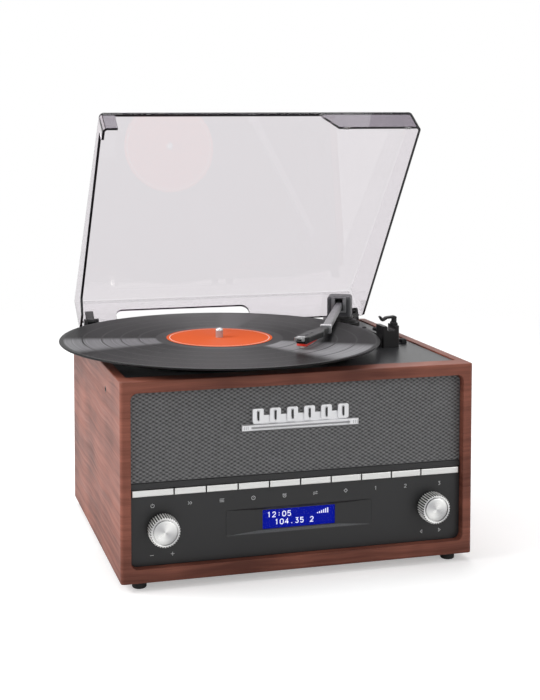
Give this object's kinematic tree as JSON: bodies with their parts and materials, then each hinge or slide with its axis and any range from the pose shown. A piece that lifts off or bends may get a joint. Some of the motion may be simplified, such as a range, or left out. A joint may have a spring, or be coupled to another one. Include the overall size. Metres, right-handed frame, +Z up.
{
  "type": "stereo music centre",
  "caption": "Music centre in a wooden case: belt-driven record player with tonearm and tinted hinged lid above a speaker grille and a radio panel with knobs, push buttons and a display.",
  "frame": {"origin": "on the table, under the centre of the bounding box of the whole object with its record and open lid", "axes": "+X to the object's right seen from the front, +Y to the rear, +Z up; the radio panel faces -Y"},
  "size_m": [0.3522, 0.317, 0.4029],
  "materials": {
    "mahogany_vinyl": "mahogany-grain vinyl wrap over particle board, satin",
    "black_rubber": "black rubber",
    "hardboard": "black-faced board",
    "zinc_screw": "black-zinc steel",
    "socket_nylon": "black nylon body with nickelled contacts",
    "nickel": "nickel plate",
    "deck_abs": "moulded black ABS deck, fine matt texture",
    "brass": "turned brass",
    "belt_rubber": "black neoprene",
    "motor_steel": "zinc-plated can",
    "black_abs": "moulded black ABS, fine matt texture",
    "steel": "turned steel",
    "fascia_abs": "moulded charcoal ABS, satin",
    "lcd_glass": "blue negative LCD under a clear window",
    "circuit_board": "green glass-epoxy board with parts",
    "grille_cloth": "charcoal woven-look steel mesh",
    "mdf": "black-stained fibre board",
    "cone_paper": "black paper cone",
    "badge_chrome": "satin chrome plate",
    "platter_alloy": "cast aluminium, turned rim",
    "felt": "black felt",
    "vinyl": "pressed black PVC with grooves and a printed paper label",
    "knob_aluminium": "spun and knurled aluminium",
    "smoked_styrene": "smoke-tinted clear polystyrene, polished",
    "clear_pvc": "soft clear PVC",
    "arm_abs": "dark grey ABS, satin",
    "arm_paint": "grey enamel on aluminium tube",
    "shell_abs": "black ABS, satin",
    "red_polycarbonate": "translucent red polycarbonate",
    "key_silver": "brushed silver cap"
  },
  "bodies": {
    "cabinet": {"wooden_case": "mahogany_vinyl", "feet": "black_rubber", "rear_panel": "hardboard", "panel_screws": "zinc_screw", "line_out_sockets": "socket_nylon", "dc_inlet": "socket_nylon", "aerial_socket": "nickel", "mini_jack_sockets": "socket_nylon", "deck_plate": "deck_abs", "bearing_housing": "brass", "drive_belt": "belt_rubber", "motor": "motor_steel", "tonearm_base": "black_abs", "arm_rest": "black_abs", "hinge_bases": "black_abs", "hinge_pins": "steel", "fascia": "fascia_abs", "lcd_lens": "lcd_glass", "lcd_module": "black_abs", "encoders": "socket_nylon", "control_board": "circuit_board", "grille": "grille_cloth", "baffle": "mdf", "speaker_baskets": "motor_steel", "speaker_cones": "cone_paper", "badge": "badge_chrome", "main_board": "circuit_board", "power_supply": "circuit_board"},
    "turntable": {"platter": "platter_alloy", "platter_mat": "felt", "record": "vinyl", "spindle": "steel"},
    "pulley": {"motor_pulley": "brass"},
    "volume": {"volume_knob": "knob_aluminium"},
    "tuning": {"tune_knob": "knob_aluminium"},
    "dust_cover": {"lid": "smoked_styrene", "hinge_leaves": "black_abs", "lid_bumpers": "clear_pvc"},
    "arm_turret": {"arm_yoke": "arm_abs", "arm_post": "steel"},
    "tonearm": {"arm_tube": "arm_paint", "headshell": "shell_abs", "cartridge": "shell_abs", "stylus_holder": "red_polycarbonate"},
    "clip": {"arm_clip": "black_abs"},
    "cue": {"cue_lever": "black_abs"},
    "lifter": {"arm_lifter": "black_abs"},
    "speed": {"speed_switch": "black_abs"},
    "auto_stop": {"auto_stop_switch": "black_abs"},
    "key_power": {"button_power": "key_silver"},
    "key_scan": {"button_scan": "key_silver"},
    "key_menu": {"button_menu": "key_silver"},
    "key_info": {"button_info": "key_silver"},
    "key_alarm": {"button_alarm": "key_silver"},
    "key_mode": {"button_mode": "key_silver"},
    "key_preset": {"button_preset": "key_silver"},
    "key_1": {"button_1": "key_silver"},
    "key_2": {"button_2": "key_silver"},
    "key_3": {"button_3": "key_silver"}
  },
  "joints": [
    {"name": "platter_spin", "type": "hinge", "parent": "cabinet", "child": "turntable", "pos_m": [-0.02535, -0.00767, 0.178], "axis": [0, 0, 1], "continuous": true},
    {"name": "pulley_spin", "type": "hinge", "parent": "cabinet", "child": "pulley", "pos_m": [-0.08475, 0.05173, 0.178], "axis": [0, 0, 1], "continuous": true},
    {"name": "volume_turn", "type": "hinge", "parent": "cabinet", "child": "volume", "pos_m": [-0.10685, -0.12387, 0.051], "axis": [0, -1, 0], "continuous": true},
    {"name": "tune_turn", "type": "hinge", "parent": "cabinet", "child": "tuning", "pos_m": [0.13915, -0.12387, 0.051], "axis": [0, -1, 0], "continuous": true},
    {"name": "lid_swing", "type": "hinge", "parent": "cabinet", "child": "dust_cover", "pos_m": [0.01615, 0.12633, 0.1885], "axis": [-1, 0, 0], "range_deg": [-54.5, 8]},
    {"name": "arm_pan", "type": "hinge", "parent": "cabinet", "child": "arm_turret", "pos_m": [0.13815, 0.10633, 0.188], "axis": [0, 0, 1], "range_deg": [-15, 18.5]},
    {"name": "arm_tilt", "type": "hinge", "parent": "arm_turret", "child": "tonearm", "pos_m": [0.13815, 0.10633, 0.1995], "axis": [-0.9048, 0.4258, 0], "range_deg": [0, 15]},
    {"name": "clip_open", "type": "hinge", "parent": "cabinet", "child": "clip", "pos_m": [0.14405, -0.02567, 0.1997], "axis": [0, 1, 0], "range_deg": [0, 75]},
    {"name": "cue_lift", "type": "hinge", "parent": "cabinet", "child": "cue", "pos_m": [0.13765, -0.01267, 0.1845], "axis": [1, 0, 0], "range_deg": [0, 65]},
    {"name": "lifter_rise", "type": "slide", "parent": "cabinet", "child": "lifter", "axis": [0, 0, 1], "range_m": [0, 0.004]},
    {"name": "speed_select", "type": "slide", "parent": "cabinet", "child": "speed", "axis": [0, 1, 0], "range_m": [0, 0.008]},
    {"name": "auto_stop_select", "type": "slide", "parent": "cabinet", "child": "auto_stop", "axis": [0, 1, 0], "range_m": [0, 0.005]},
    {"name": "press_power", "type": "slide", "parent": "cabinet", "child": "key_power", "axis": [0, 1, 0], "range_m": [0, 0.0008], "stiffness_N_per_m": 300, "springref_m": -0.001},
    {"name": "press_scan", "type": "slide", "parent": "cabinet", "child": "key_scan", "axis": [0, 1, 0], "range_m": [0, 0.0008], "stiffness_N_per_m": 300, "springref_m": -0.001},
    {"name": "press_menu", "type": "slide", "parent": "cabinet", "child": "key_menu", "axis": [0, 1, 0], "range_m": [0, 0.0008], "stiffness_N_per_m": 300, "springref_m": -0.001},
    {"name": "press_info", "type": "slide", "parent": "cabinet", "child": "key_info", "axis": [0, 1, 0], "range_m": [0, 0.0008], "stiffness_N_per_m": 300, "springref_m": -0.001},
    {"name": "press_alarm", "type": "slide", "parent": "cabinet", "child": "key_alarm", "axis": [0, 1, 0], "range_m": [0, 0.0008], "stiffness_N_per_m": 300, "springref_m": -0.001},
    {"name": "press_mode", "type": "slide", "parent": "cabinet", "child": "key_mode", "axis": [0, 1, 0], "range_m": [0, 0.0008], "stiffness_N_per_m": 300, "springref_m": -0.001},
    {"name": "press_preset", "type": "slide", "parent": "cabinet", "child": "key_preset", "axis": [0, 1, 0], "range_m": [0, 0.0008], "stiffness_N_per_m": 300, "springref_m": -0.001},
    {"name": "press_1", "type": "slide", "parent": "cabinet", "child": "key_1", "axis": [0, 1, 0], "range_m": [0, 0.0008], "stiffness_N_per_m": 300, "springref_m": -0.001},
    {"name": "press_2", "type": "slide", "parent": "cabinet", "child": "key_2", "axis": [0, 1, 0], "range_m": [0, 0.0008], "stiffness_N_per_m": 300, "springref_m": -0.001},
    {"name": "press_3", "type": "slide", "parent": "cabinet", "child": "key_3", "axis": [0, 1, 0], "range_m": [0, 0.0008], "stiffness_N_per_m": 300, "springref_m": -0.001}
  ],
  "couplings": [
    {"joint": "pulley_spin", "follows": "platter_spin", "ratio": 16.191},
    {"joint": "cue_lift", "follows": "lifter_rise", "rad_per_m": 283.59}
  ]
}
